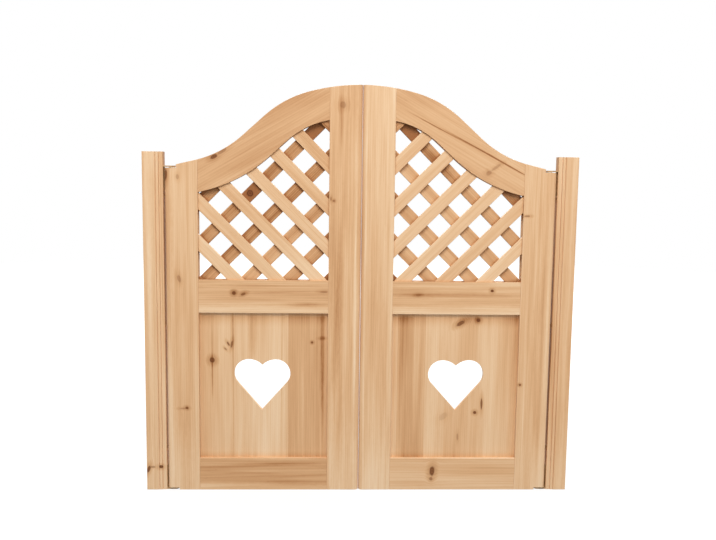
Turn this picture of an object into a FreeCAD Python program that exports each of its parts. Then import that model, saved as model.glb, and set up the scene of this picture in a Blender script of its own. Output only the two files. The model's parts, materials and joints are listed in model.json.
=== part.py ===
"""Cafe swinging doors: two half-height pine leaves that swing both ways between two posts.

Millimetres. The origin is at the bottom centre of the opening, +Z is up, +X runs along the
opening to the right-hand post, and the front faces -Y.
Every piece is drawn on the right-hand side, and the left-hand one is its mirror image.
"""
import FreeCAD, Part
import math
import os
import re
import Sketcher

DOC = FreeCAD.newDocument("CafeSwingingDoors")

# Driving dimensions. Heights are from the bottom of the leaves, which is level with the posts.
SIZES = {
    # opening and posts
    "overall_width": 900.0,
    "post_width": 42.5,
    "post_depth": 22.0,
    "post_rise": 31.0,
    "post_edge_radius": 2.0,
    "inner_strip_width": 8.2,
    "middle_strip_width": 4.8,
    "strip_step": 1.0,
    "quirk_width": 1.8,
    "quirk_depth": 1.4,
    # holes for the wall screws
    "wall_hole_radius": 2.75,
    "wall_counterbore_radius": 5.5,
    "wall_counterbore_depth": 12.0,
    "wall_hole_height": 90.0,
    "wall_hole_spacing": 268.0,
    # leaf outline
    "hinge_gap": 2.8,
    "meeting_gap": 0.8,
    "leaf_thickness": 22.0,
    "nose_radius": 8.0,
    "heel_radius": 7.0,
    "outer_stile_width": 67.2,
    "meeting_stile_width": 67.35,
    "bottom_rail_width": 70.0,
    "mid_rail_bottom": 383.0,
    "mid_rail_width": 69.5,
    # crown line: a flat arc, a shoulder arc, a straight flank, a hollow arc and a straight tail
    "crown_height": 855.0,
    "crown_radius": 410.0,
    "crown_turn_angle": 16.0,
    "crown_shoulder": 223.5,
    "crown_slope_angle": 42.0,
    "crown_flank": 60.0,
    "crown_sweep": 225.0,
    "crown_tail_angle": 13.5,
    # arch line, under the top rail, whose depth is measured in the middle of the opening
    "top_rail_depth": 66.0,
    "arch_radius": 385.0,
    "arch_turn_angle": 10.5,
    "arch_shoulder": 171.0,
    "arch_slope_angle": 42.0,
    "arch_flank": 51.0,
    "arch_sweep": 314.0,
    "arch_tail_angle": 8.0,
    # panel of glued boards, loose in its groove
    "panel_thickness": 8.0,
    "panel_groove_depth": 9.0,
    "panel_room": 1.5,
    "groove_slack": 0.3,
    # boards, counted from the meeting stile: the lead is how far the third starts before the
    # middle of the panel, and the second and the fifth take up what is left
    "first_board_width": 12.25,
    "left_third_board_lead": 51.6,
    "left_third_board_width": 75.0,
    "left_fourth_board_width": 41.0,
    "right_third_board_lead": 62.6,
    "right_third_board_width": 42.0,
    "right_fourth_board_width": 70.0,
    # heart cut-out, a little to the post's side of the middle
    "heart_offset": 3.2,
    "heart_tip_height": 174.0,
    "heart_height": 109.3,
    "heart_notch": 11.9,
    "heart_lobe_radius": 30.4,
    "heart_lobe_offset": 28.6,
    "heart_tilt_angle": -0.5,
    # lattice of two layers of slats at 45 degrees
    "slat_width": 25.3,
    "slat_thickness": 7.0,
    "slat_end_room": 1.0,
    "lattice_groove_depth": 9.0,
    "lattice_bay_count": 7.04,
    "front_slat_setback": 9.0,
    "back_slat_setback": 2.75,
    # dowels
    "dowel_radius": 4.0,
    "dowel_length": 70.0,
    "hole_end_room": 1.0,
    "dowel_inset": 16.0,
    "crown_dowel_inset": 11.0,
    "glue_slack": 0.03,
    # pivots
    "pivot_backset": 14.0,
    "pivot_pin_radius": 3.0,
    "pivot_clearance": 0.05,
    "bracket_thickness": 2.5,
    "bracket_width": 15.0,
    "bracket_leg": 52.0,
    "bracket_rise": 0.3,
    "bracket_bend_radius": 2.0,
    "swing_room": 2.0,
    "flange_radius": 6.5,
    "flange_thickness": 1.3,
    "thrust_gap": 0.4,
    "bush_radius": 5.0,
    "lower_bush_length": 12.0,
    "upper_bush_length": 22.0,
    "lower_pin_reach": 45.0,
    "upper_pin_reach": 21.0,
    "pin_chamfer": 0.8,
    "sleeve_wall": 1.0,
    "sleeve_length": 60.0,
    "sleeve_cap": 1.5,
    "spring_wire_radius": 0.6,
    "spring_room": 0.3,
    "spring_pitch": 1.6,
    "spring_length": 28.0,
    # countersunk bracket screws
    "screw_head_radius": 3.4,
    "screw_head_depth": 1.8,
    "screw_shank_radius": 1.7,
    "screw_length": 20.0,
    "screw_point": 4.0,
    "screw_tip_radius": 0.2,
    "screw_slot_length": 4.1,
    "screw_slot_width": 0.8,
    "screw_slot_depth": 1.0,
    "screw_first": 17.0,
    "screw_second": 40.0,
}

# Sizes that follow from the ones above.
WORKED = {
    "half_width": "overall_width / 2",
    "post_inner": "half_width - post_width",
    "leaf_heel": "post_inner - hinge_gap",
    "leaf_nose": "meeting_gap / 2",
    "heel_joint": "leaf_heel - outer_stile_width",
    "nose_joint": "leaf_nose + meeting_stile_width",
    "mid_rail_top": "mid_rail_bottom + mid_rail_width",
    "arch_height": "crown_height - top_rail_depth",
    "panel_middle": "(nose_joint + heel_joint) / 2",
    "panel_groove": "panel_thickness + groove_slack",
    "panel_grip": "panel_groove_depth - panel_room",
    "heart_centre": "panel_middle + heart_offset",
    "lattice_thickness": "2 * slat_thickness",
    "lattice_groove": "lattice_thickness + groove_slack",
    "slat_grip": "lattice_groove_depth - slat_end_room",
    "lattice_pitch": "(heel_joint - nose_joint + arch_height - mid_rail_top)"
                     " / lattice_bay_count",
    "front_slat_start": "mid_rail_top - heel_joint - front_slat_setback",
    "back_slat_start": "mid_rail_top + nose_joint - back_slat_setback",
    "pivot_line": "leaf_heel - pivot_backset",
    "notch_edge": "pivot_line - bracket_width / 2 - swing_room",
    "lower_seat": "bracket_thickness + thrust_gap + flange_thickness",
    "crown_turn": "crown_turn_angle * 1deg",
    "crown_slope": "crown_slope_angle * 1deg",
    "crown_tail": "crown_tail_angle * 1deg",
    "crown_end": "crown_radius * sin(crown_turn)"
                 " + crown_shoulder * (sin(crown_slope) - sin(crown_turn))"
                 " + crown_flank * cos(crown_slope)"
                 " + crown_sweep * (sin(crown_slope) - sin(crown_tail))",
    "crown_end_height": "crown_height - crown_radius * (1 - cos(crown_turn))"
                        " - crown_shoulder * (cos(crown_turn) - cos(crown_slope))"
                        " - crown_flank * sin(crown_slope)"
                        " - crown_sweep * (cos(crown_tail) - cos(crown_slope))",
    "heel_height": "crown_end_height - (leaf_heel - crown_end) * tan(crown_tail)",
    "post_height": "heel_height + post_rise",
    "upper_arm": "heel_height + bracket_rise",
    "upper_seat": "upper_arm - thrust_gap - flange_thickness",
    "spring_coil_radius": "bush_radius - spring_room - spring_wire_radius",
}

WALL_HOLE_COUNT = 3
FULL_SLATS = {"front": range(1, 7), "back": range(1, 6)}
CORNER_SLATS = (("front", 0), ("front", 7), ("back", 0))

OVERCUT = 1.0     # how far a cutter runs past the face that it opens
TOUCH = 0.01      # two places nearer than this are one

SIDES = ("left", "right")
OUTWARD = FreeCAD.Vector(1, 0, 0)
ACROSS = FreeCAD.Vector(0, 1, 0)
UP = FreeCAD.Vector(0, 0, 1)
PIECES = {}


# ---------------------------------------------------------------- sheets and formulas

def fill_sheet(name, cells):
    """A spreadsheet with a name and a value or formula in each row."""
    sheet = DOC.addObject("Spreadsheet::Sheet", name)
    for row, (alias, content) in enumerate(cells.items(), start=1):
        sheet.set(f"A{row}", alias)
        sheet.set(f"B{row}", content)
        sheet.setAlias(f"B{row}", alias)
    DOC.recompute()
    return sheet


def formula(text):
    """The formula with each named size pointed at the sheet that holds it."""
    def with_sheet(match):
        word = match.group(0)
        if word in SIZES:
            return "Sizes." + word
        return "Worked." + word if word in WORKED else word
    return re.sub(r"[a-z_]+", with_sheet, text)


def size(text):
    """The value of a formula, as a number."""
    return float(DOC.getObject("Sizes").evalExpression(formula(text)))


def bind(piece, **formulas):
    """Drive the named properties of an object from the sheets."""
    for name, text in formulas.items():
        piece.setExpression(name, formula(text))


def place(piece, x="0", y="0", z="0", rotation=None):
    """Set where an object's own origin lies, driven from the sheets."""
    if rotation:
        piece.Placement = FreeCAD.Placement(FreeCAD.Vector(), rotation)
    for axis, text in (("x", x), ("y", y), ("z", z)):
        if text != "0":
            piece.setExpression("Placement.Base." + axis, formula(text))
    return piece


# ---------------------------------------------------------------- building blocks

def block(name, x, y, z):
    """A box between two formulas along each axis."""
    piece = DOC.addObject("Part::Box", name)
    bind(piece, Length=f"({x[1]}) - ({x[0]})", Width=f"({y[1]}) - ({y[0]})",
         Height=f"({z[1]}) - ({z[0]})")
    return place(piece, x[0], y[0], z[0])


def through(thickness):
    """The span across the leaf of something of this thickness, centred on y = 0."""
    return f"-({thickness}) / 2", f"({thickness}) / 2"


def rod(name, radius, length, x="0", y="0", z="0", towards=UP):
    """A cylinder from a point, along a direction."""
    piece = DOC.addObject("Part::Cylinder", name)
    bind(piece, Radius=radius, Height=length)
    return place(piece, x, y, z, FreeCAD.Rotation(UP, towards))


def cone(name, first_radius, last_radius, length, x, z, towards):
    """A cone from a point, along a direction."""
    piece = DOC.addObject("Part::Cone", name)
    bind(piece, Radius1=first_radius, Radius2=last_radius, Height=length)
    return place(piece, x, "0", z, FreeCAD.Rotation(UP, towards))


def cut(base, *tools):
    """The base with each tool taken out of it."""
    for tool in tools:
        piece = DOC.addObject("Part::Cut", f"{base.Name}_less")
        piece.Base = base
        piece.Tool = tool
        base = piece
    return base


def common(name, first, second):
    """What two solids share."""
    piece = DOC.addObject("Part::Common", name)
    piece.Base = first
    piece.Tool = second
    return piece


def fuse(name, *solids):
    """Solids joined into one."""
    piece = DOC.addObject("Part::MultiFuse", name)
    piece.Shapes = list(solids)
    piece.Refine = True
    return piece


def group(name, solids):
    """Separate solids kept together."""
    piece = DOC.addObject("Part::Compound", name)
    piece.Links = list(solids)
    return piece


def rounded(name, base, radius, chosen):
    """The base with a radius on each edge whose middle the test accepts."""
    DOC.recompute()
    piece = DOC.addObject("Part::Fillet", name)
    piece.Base = base
    value = size(radius)
    edges = enumerate(base.Shape.Edges, start=1)
    piece.Edges = [(number, value, value) for number, edge in edges if chosen(edge)]
    return piece


def extruded(name, edges, thickness):
    """A flat outline in the XZ plane, given its thickness about y = 0."""
    outline = DOC.addObject("Part::Feature", name + "_outline")
    outline.Shape = Part.Face(Part.Wire(edges))
    piece = DOC.addObject("Part::Extrusion", name)
    piece.Base = outline
    piece.DirMode = "Custom"
    piece.Dir = ACROSS
    piece.Solid = True
    piece.Symmetric = True
    bind(piece, LengthFwd=thickness)
    return piece


def body_with_sketch(name, plane, corners):
    """A body whose first sketch is a closed outline, each corner driven from the sheets."""
    body = DOC.addObject("PartDesign::Body", name)
    support = [item for item in body.Origin.OriginFeatures if item.Role == plane]
    sketch = body.newObject("Sketcher::SketchObject", name + "_sketch")
    sketch.AttachmentSupport = [(support[0], "")]
    sketch.MapMode = "FlatFace"
    points = [FreeCAD.Vector(size(across), size(along), 0) for across, along in corners]
    for number, point in enumerate(points):
        following = points[(number + 1) % len(points)]
        sketch.addGeometry(Part.LineSegment(point, following), False)
    for number in range(len(points)):
        following = (number + 1) % len(points)
        sketch.addConstraint(Sketcher.Constraint("Coincident", number, 2, following, 1))
    for number, corner in enumerate(corners):
        for kind, text in zip(("DistanceX", "DistanceY"), corner):
            constraint = Sketcher.Constraint(kind, -1, 1, number, 1, size(text))
            index = sketch.addConstraint(constraint)
            sketch.setExpression(f"Constraints[{index}]", formula(text))
    return body, sketch


def turned(name, corners):
    """A turned piece on the pivot line, from its half section as radius and height."""
    body, sketch = body_with_sketch(name, "XZ_Plane", corners)
    piece = body.newObject("PartDesign::Revolution", name + "_turning")
    piece.Profile = sketch
    piece.ReferenceAxis = (sketch, ["V_Axis"])
    piece.Angle = 360
    place(body, x="pivot_line")
    return body


def mirrored(piece):
    """The left-hand twin of a right-hand piece."""
    twin = DOC.addObject("Part::Mirroring", piece.Name + "_mirrored")
    twin.Source = piece
    twin.Normal = OUTWARD
    return twin


def keep(label, piece):
    """Name a finished piece and list it for export."""
    piece.Label = label
    PIECES[label] = piece


def keep_pair(label, piece):
    """A right-hand piece and its mirror image on the left."""
    keep("right_" + label, piece)
    keep("left_" + label, mirrored(piece))


# ---------------------------------------------------------------- crown and arch lines

class OgeeLine:
    """Half of a bow line, from the middle of the opening outwards, made of tangent arcs."""

    def __init__(self, name, grow="0"):
        """Read the line's sizes, and lie the grow distance outside it."""
        def read(suffix):
            return size(f"{name}_{suffix}")
        grown = size(grow)
        turn, slope, tail = (math.radians(read(word))
                             for word in ("turn_angle", "slope_angle", "tail_angle"))
        apex = FreeCAD.Vector(0, 0, read("height"))
        crown_centre = apex - self.outward(0) * read("radius")
        crown_end = crown_centre + self.outward(turn) * read("radius")
        shoulder_centre = crown_end - self.outward(turn) * read("shoulder")
        shoulder_end = shoulder_centre + self.outward(slope) * read("shoulder")
        sweep_start = shoulder_end + self.along(slope) * read("flank")
        sweep_centre = sweep_start + self.outward(slope) * read("sweep")
        self.arcs = (
            (crown_centre, read("radius") + grown, 0.0, turn, 1),
            (shoulder_centre, read("shoulder") + grown, turn, slope, 1),
            (sweep_centre, read("sweep") - grown, slope, tail, -1),
        )
        self.apex = apex
        self.tail = tail

    @staticmethod
    def outward(angle):
        """Unit normal, up and out, where the line falls at this angle."""
        return FreeCAD.Vector(math.sin(angle), 0, math.cos(angle))

    @staticmethod
    def along(angle):
        """Unit direction of the line where it falls at this angle."""
        return FreeCAD.Vector(math.cos(angle), 0, -math.sin(angle))

    def edges(self):
        """The line's edges, in order, and the point where it ends."""
        made = []
        last = None
        for centre, radius, start, end, way in self.arcs:
            first, middle, final = (centre + self.outward(angle) * radius * way
                                    for angle in (start, (start + end) / 2, end))
            if last and last.distanceToPoint(first) > TOUCH:
                made.append(Part.makeLine(last, first))
            made.append(Part.Arc(first, middle, final).toShape())
            last = final
        finish = last + self.along(self.tail) * size("half_width")
        made.append(Part.makeLine(last, finish))
        return made, finish

    def height(self, x):
        """Height of the line at a distance from the middle of the opening."""
        foot = FreeCAD.Vector(x, 0, 0)
        plumb = Part.makeLine(foot, foot + self.apex * 2)
        made, _ = self.edges()
        return Part.Wire(made).distToShape(plumb)[1][0][0].z


def below(name, line, thickness):
    """Everything under a bow line, from the middle of the opening outwards."""
    edges, finish = line.edges()
    foot = FreeCAD.Vector(finish.x, 0, -OVERCUT)
    corner = FreeCAD.Vector(0, 0, -OVERCUT)
    top = edges[0].Vertexes[0].Point
    edges += [Part.makeLine(finish, foot), Part.makeLine(foot, corner), Part.makeLine(corner, top)]
    return extruded(name, edges, thickness)


# ---------------------------------------------------------------- posts

def post_blank():
    """A post with two stepped strips and two quirks along its inner front edge."""
    inner = "post_inner + inner_strip_width"
    middle = f"{inner} + quirk_width + middle_strip_width"
    front = "-post_depth / 2"
    corners = [
        ("post_inner", "post_depth / 2"),
        ("post_inner", f"{front} + 2 * strip_step"),
        (inner, f"{front} + 2 * strip_step"),
        (f"{inner} + quirk_width / 2", f"{front} + 2 * strip_step + quirk_depth"),
        (f"{inner} + quirk_width", f"{front} + strip_step"),
        (middle, f"{front} + strip_step"),
        (f"{middle} + quirk_width / 2", f"{front} + strip_step + quirk_depth"),
        (f"{middle} + quirk_width", front),
        ("half_width", front),
        ("half_width", "post_depth / 2"),
    ]
    body, sketch = body_with_sketch("Post_blank", "XY_Plane", corners)
    pad = body.newObject("PartDesign::Pad", "Post_length")
    pad.Profile = sketch
    bind(pad, Length="post_height")
    DOC.recompute()
    corner = size("post_inner")
    face = size(f"{front} + 2 * strip_step")
    names = [f"Edge{number}" for number, edge in enumerate(pad.Shape.Edges, start=1)
             if is_upright(edge) and abs(edge.CenterOfMass.x - corner) < TOUCH
             and abs(edge.CenterOfMass.y - face) < TOUCH]
    fillet = body.newObject("PartDesign::Fillet", "Post_edge")
    fillet.Base = (pad, names)
    bind(fillet, Radius="post_edge_radius")
    return body


def is_upright(edge):
    """Whether an edge is a plumb line."""
    box = edge.BoundBox
    return max(box.XLength, box.YLength) < TOUCH < box.ZLength


def wall_hole(number):
    """One counterbored hole for a screw through the post into the wall."""
    height = f"wall_hole_height + {number} * wall_hole_spacing"
    start = f"post_inner - {OVERCUT}"
    shank = rod(f"Wall_hole_{number}", "wall_hole_radius", f"post_width + 2 * {OVERCUT}",
                x=start, z=height, towards=OUTWARD)
    recess = rod(f"Wall_counterbore_{number}", "wall_counterbore_radius",
                 f"wall_counterbore_depth + {OVERCUT}", x=start, z=height, towards=OUTWARD)
    return [shank, recess]


def mortise(name, low, high):
    """The recess that a bracket's leg lies in, flush with the post's inner face."""
    return block(name, (f"post_inner - {OVERCUT}", "post_inner + bracket_thickness"),
                 through("bracket_width"), (low, high))


def posts():
    """Both posts, with wall holes, bracket mortises and pilot holes."""
    tools = [tool for number in range(WALL_HOLE_COUNT) for tool in wall_hole(number)]
    tools.append(mortise("Lower_mortise", f"-{OVERCUT}", "bracket_leg"))
    upper_end = "upper_arm + bracket_thickness"
    tools.append(mortise("Upper_mortise", f"{upper_end} - bracket_leg", upper_end))
    for number, height in enumerate(screw_heights()):
        pilot = rod(f"Pilot_{number}", "screw_shank_radius + glue_slack",
                    "screw_length - screw_point", x="post_inner", z=height, towards=OUTWARD)
        point = cone(f"Pilot_point_{number}", "screw_shank_radius + glue_slack",
                     "screw_tip_radius + glue_slack", "screw_point",
                     "post_inner + screw_length - screw_point", height, OUTWARD)
        tools += [pilot, point]
    keep_pair("post", cut(post_blank(), *tools))


# ---------------------------------------------------------------- pivot hardware

def screw_heights():
    """Heights of the bracket screws, two in each leg."""
    top = "upper_arm + bracket_thickness"
    return ["screw_first", "screw_second", f"{top} - screw_first", f"{top} - screw_second"]


def bracket(name, foot_low, leg_low, leg_high, bend_height, screws):
    """An angle bracket: an arm with a round end on the pivot line, and a screwed leg."""
    arm = block(name + "_arm", ("pivot_line", "post_inner + bracket_thickness"),
                through("bracket_width"), (foot_low, f"{foot_low} + bracket_thickness"))
    end = rod(name + "_end", "bracket_width / 2", "bracket_thickness", x="pivot_line", z=foot_low)
    leg = block(name + "_leg", ("post_inner", "post_inner + bracket_thickness"),
                through("bracket_width"), (leg_low, leg_high))
    outer = size("post_inner + bracket_thickness")
    level = size(bend_height)
    bent = rounded(name + "_bent", fuse(name + "_blank", arm, end, leg), "bracket_bend_radius",
                   lambda edge: abs(edge.CenterOfMass.x - outer) < TOUCH
                   and abs(edge.CenterOfMass.z - level) < TOUCH)
    tools = [rod(name + "_pin_hole", "pivot_pin_radius + glue_slack",
                 f"bracket_thickness + 2 * {OVERCUT}",
                 x="pivot_line", z=f"{foot_low} - {OVERCUT}")]
    for number, height in enumerate(screws):
        tools.append(cone(f"{name}_sink_{number}", "screw_head_radius + glue_slack",
                          "screw_shank_radius + glue_slack", "screw_head_depth", "post_inner",
                          height, OUTWARD))
        tools.append(rod(f"{name}_screw_hole_{number}", "screw_shank_radius + glue_slack",
                         f"bracket_thickness + {OVERCUT}", x="post_inner", z=height,
                         towards=OUTWARD))
    return cut(bent, *tools)


def brackets():
    """Lower and upper brackets for both posts."""
    heights = screw_heights()
    keep_pair("lower_bracket", bracket("Lower_bracket", "0", "0", "bracket_leg", "0", heights[:2]))
    top = "upper_arm + bracket_thickness"
    keep_pair("upper_bracket", bracket("Upper_bracket", "upper_arm", f"{top} - bracket_leg",
                                       top, top, heights[2:]))


def bracket_screws():
    """All the countersunk screws of the brackets, as one group."""
    slot_depth = (f"post_inner - {OVERCUT}", "post_inner + screw_slot_depth")
    screws = []
    for number, height in enumerate(screw_heights()):
        name = f"Screw_{number}"
        head = cone(name + "_head", "screw_head_radius", "screw_shank_radius",
                    "screw_head_depth", "post_inner", height, OUTWARD)
        shank = rod(name + "_shank", "screw_shank_radius",
                    "screw_length - screw_head_depth - screw_point",
                    x="post_inner + screw_head_depth", z=height, towards=OUTWARD)
        point = cone(name + "_point", "screw_shank_radius", "screw_tip_radius",
                     "screw_point", "post_inner + screw_length - screw_point", height, OUTWARD)
        across = block(name + "_slot_across", slot_depth, through("screw_slot_length"),
                       (f"{height} - screw_slot_width / 2", f"{height} + screw_slot_width / 2"))
        upright = block(name + "_slot_upright", slot_depth, through("screw_slot_width"),
                        (f"{height} - screw_slot_length / 2",
                         f"{height} + screw_slot_length / 2"))
        screw = cut(fuse(name + "_blank", head, shank, point), across, upright)
        screws += [screw, mirrored(screw)]
    keep("bracket_screws", group("Screw_group", screws))


def pivot_pins():
    """The four pins, riveted in the brackets, as one group."""
    lower = turned("Lower_pin", [
        ("0", "0"), ("pivot_pin_radius", "0"),
        ("pivot_pin_radius", "bracket_thickness + lower_pin_reach - pin_chamfer"),
        ("pivot_pin_radius - pin_chamfer", "bracket_thickness + lower_pin_reach"),
        ("0", "bracket_thickness + lower_pin_reach")])
    upper = turned("Upper_pin", [
        ("0", "upper_arm - upper_pin_reach"),
        ("pivot_pin_radius - pin_chamfer", "upper_arm - upper_pin_reach"),
        ("pivot_pin_radius", "upper_arm - upper_pin_reach + pin_chamfer"),
        ("pivot_pin_radius", "upper_arm + bracket_thickness"),
        ("0", "upper_arm + bracket_thickness")])
    keep("pivot_pins", group("Pin_group", [lower, upper, mirrored(lower), mirrored(upper)]))


def bush(name, seat, outer, length, way):
    """A flanged bush: the flange outside the seat, the barrel inside the leaf."""
    bore = "pivot_pin_radius + pivot_clearance"
    face = f"{seat} - ({way}) * flange_thickness"
    inside = f"{seat} + ({way}) * ({length})"
    return turned(name, [(bore, face), ("flange_radius", face), ("flange_radius", seat),
                         (outer, seat), (outer, inside), (bore, inside)])


def pivot_bushes():
    """The lower and the upper nylon bush of each leaf."""
    lower = bush("Lower_bush", "lower_seat", "bush_radius - glue_slack",
                 "lower_bush_length", "1")
    upper = bush("Upper_bush", "upper_seat", "bush_radius - glue_slack",
                 "upper_bush_length", "-1")
    keep_pair("pivot_bushes", group("Bush_pair", [lower, upper]))


def spring_sleeve():
    """The closed steel sleeve in the leaf's heel that holds the spring and the lower bush."""
    outer = "bush_radius + sleeve_wall"
    top = "lower_seat + sleeve_length"
    keep_pair("spring_sleeve", turned("Sleeve", [
        ("bush_radius", "lower_seat"), (outer, "lower_seat"), (outer, top), ("0", top),
        ("0", f"{top} - sleeve_cap"), ("bush_radius", f"{top} - sleeve_cap")]))


def return_spring():
    """The coiled spring round the lower pin that brings the leaf back to the middle."""
    coil = DOC.addObject("Part::Helix", "Spring_coil")
    bind(coil, Radius="spring_coil_radius", Pitch="spring_pitch", Height="spring_length")
    start = "lower_seat + lower_bush_length + spring_pitch"
    place(coil, x="pivot_line", z=start)
    wire = DOC.addObject("Part::Circle", "Spring_wire")
    bind(wire, Radius="spring_wire_radius")
    place(wire, x="pivot_line + spring_coil_radius", z=start,
          rotation=FreeCAD.Rotation(OUTWARD, 90))
    piece = DOC.addObject("Part::Sweep", "Spring_sweep")
    piece.Sections = [wire]
    piece.Spine = (coil, ["Edge1"])
    piece.Solid = True
    piece.Frenet = True
    keep_pair("return_spring", piece)


# ---------------------------------------------------------------- leaf frame

def dowel_seats():
    """Joint line and height of every dowel: two at each end of each rail."""
    seats = []
    for joint in ("heel_joint", "nose_joint"):
        seats += [(joint, "dowel_inset"),
                  (joint, "bottom_rail_width - panel_groove_depth - dowel_inset"),
                  (joint, "mid_rail_bottom + panel_groove_depth + dowel_inset"),
                  (joint, "mid_rail_top - lattice_groove_depth - dowel_inset")]
        seats += [(joint, repr(height)) for height in crown_dowel_heights(joint)]
    return seats


def crown_dowel_heights(joint):
    """Two heights inside the top rail's end, clear of the groove and of the crown line."""
    half = size("dowel_length / 2")
    inset = size("crown_dowel_inset")
    line = size(joint)
    inward = -1 if joint == "heel_joint" else 1
    crown = OgeeLine("crown")
    groove = OgeeLine("arch", "lattice_groove_depth")
    lowest = max(groove.height(line), groove.height(line + inward * half))
    highest = min(crown.height(line - half), crown.height(line + half))
    return lowest + inset, highest - inset


def dowels_and_holes():
    """The dowels of a leaf, and the slightly longer holes they are glued in."""
    dowels = []
    holes = []
    for number, (joint, height) in enumerate(dowel_seats()):
        dowels.append(rod(f"Dowel_{number}", "dowel_radius", "dowel_length",
                          x=f"{joint} - dowel_length / 2", z=height, towards=OUTWARD))
        holes.append(rod(f"Dowel_hole_{number}", "dowel_radius + glue_slack",
                         "dowel_length + 2 * hole_end_room",
                         x=f"{joint} - dowel_length / 2 - hole_end_room", z=height,
                         towards=OUTWARD))
    keep_pair("dowels", group("Dowel_group", dowels))
    return group("Dowel_holes", holes)


def grown_window(name, grow, thickness):
    """The lattice window, larger by the grow distance all round."""
    under = below(name + "_under_arch", OgeeLine("arch", grow), thickness)
    window = block(name + "_window", (f"nose_joint - {grow}", f"heel_joint + {grow}"),
                   through(thickness), (f"mid_rail_top - {grow}", "crown_height"))
    return common(name, window, under)


def pivot_recesses():
    """The notches and bores in the heel for the brackets, bushes and sleeve."""
    edge = ("notch_edge", f"leaf_heel + {OVERCUT}")
    across = through(f"leaf_thickness + 2 * {OVERCUT}")
    return [
        block("Lower_notch", edge, across, (f"-{OVERCUT}", "lower_seat")),
        block("Upper_notch", edge, across, ("upper_seat", "crown_height")),
        rod("Lower_bore", "bush_radius + sleeve_wall + glue_slack",
            "sleeve_length + hole_end_room", x="pivot_line", z="lower_seat"),
        rod("Upper_bore", "bush_radius", "upper_bush_length + hole_end_room",
            x="pivot_line", z="upper_seat - upper_bush_length - hole_end_room"),
    ]


def stile(name, low, high, radius, rounded_line, crown):
    """A full-height stile, one long edge rounded, its top cut to the crown line."""
    blank = block(name + "_blank", (low, high), through("leaf_thickness"), ("0", "crown_height"))
    edge_line = size(rounded_line)
    eased = rounded(name + "_eased", blank, radius,
                    lambda edge: is_upright(edge)
                    and abs(edge.CenterOfMass.x - edge_line) < TOUCH)
    return common(name + "_crowned", eased, crown)


def leaf_frame():
    """Stiles and rails of both leaves, grooved, bored and cut to the crown line."""
    past_faces = f"leaf_thickness + 2 * {OVERCUT}"
    crown = below("Under_crown", OgeeLine("crown"), past_faces)
    arch = below("Under_arch", OgeeLine("arch"), past_faces)
    lattice_groove = grown_window("Lattice_groove", "lattice_groove_depth", "lattice_groove")
    panel_groove = block("Panel_groove",
                         ("nose_joint - panel_groove_depth", "heel_joint + panel_groove_depth"),
                         through("panel_groove"),
                         ("bottom_rail_width - panel_groove_depth",
                          "mid_rail_bottom + panel_groove_depth"))
    holes = dowels_and_holes()
    width = ("nose_joint", "heel_joint")
    across = through("leaf_thickness")

    heel = stile("Heel_stile", "heel_joint", "leaf_heel", "heel_radius", "leaf_heel", crown)
    keep_pair("outer_stile", cut(heel, lattice_groove, panel_groove, holes, *pivot_recesses()))
    nose = stile("Nose_stile", "leaf_nose", "nose_joint", "nose_radius", "leaf_nose", crown)
    keep_pair("meeting_stile", cut(nose, lattice_groove, panel_groove, holes))

    top = block("Top_rail_blank", width, across, ("mid_rail_top", "crown_height"))
    keep_pair("top_rail", cut(common("Top_rail_crowned", top, crown), arch, lattice_groove, holes))
    mid = block("Mid_rail_blank", width, across, ("mid_rail_bottom", "mid_rail_top"))
    keep_pair("mid_rail", cut(mid, lattice_groove, panel_groove, holes))
    bottom = block("Bottom_rail_blank", width, across, ("0", "bottom_rail_width"))
    keep_pair("bottom_rail", cut(bottom, panel_groove, holes))


# ---------------------------------------------------------------- panel

def heart():
    """The heart cut-out: straight flanks, round lobes and flatter inner arcs to the notch."""
    radius = size("heart_lobe_radius")
    offset = size("heart_lobe_offset")
    top = size("heart_height")
    notch = size("heart_notch")
    lobe_height = top - radius
    reach = math.hypot(offset, lobe_height)
    lean = math.atan2(lobe_height, offset) - math.asin(radius / reach)
    flank = math.sqrt(reach ** 2 - radius ** 2)
    inner_radius = (offset ** 2 + notch ** 2) / (2 * notch)
    inner_turn = math.asin(offset / inner_radius)
    tip = FreeCAD.Vector(0, 0, 0)
    cusp = FreeCAD.Vector(0, 0, top - notch)

    def lobe(side):
        """The edges of one half, from the tip to the notch."""
        def point(x, z):
            return FreeCAD.Vector(side * x, 0, z)
        touch = point(flank * math.cos(lean), flank * math.sin(lean))
        bulge = point(offset + radius, lobe_height)
        crest = point(offset, top)
        inner = point(offset - inner_radius * math.sin(inner_turn / 2),
                      top - inner_radius * (1 - math.cos(inner_turn / 2)))
        return [Part.makeLine(tip, touch), Part.Arc(touch, bulge, crest).toShape(),
                Part.Arc(crest, inner, cusp).toShape()]

    right = lobe(1)
    left = lobe(-1)
    piece = extruded("Heart", right + left[::-1], f"panel_thickness + 2 * {OVERCUT}")
    middle = FreeCAD.Vector(0, 0, top / 2)
    tilt = FreeCAD.Rotation(ACROSS, size("heart_tilt_angle"))
    centre = FreeCAD.Vector(size("heart_centre"), 0, size("heart_tip_height") + top / 2)
    piece.Placement = FreeCAD.Placement(centre - tilt.multVec(middle), tilt)
    return piece


def board_lines(side):
    """Where the boards of one leaf's panel begin and end, from the meeting stile outwards."""
    third = f"panel_middle - {side}_third_board_lead"
    fourth = f"{third} + {side}_third_board_width"
    fifth = f"{fourth} + {side}_fourth_board_width"
    return ["nose_joint - panel_grip", "nose_joint + first_board_width", third, fourth, fifth,
            "heel_joint + panel_grip"]


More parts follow.
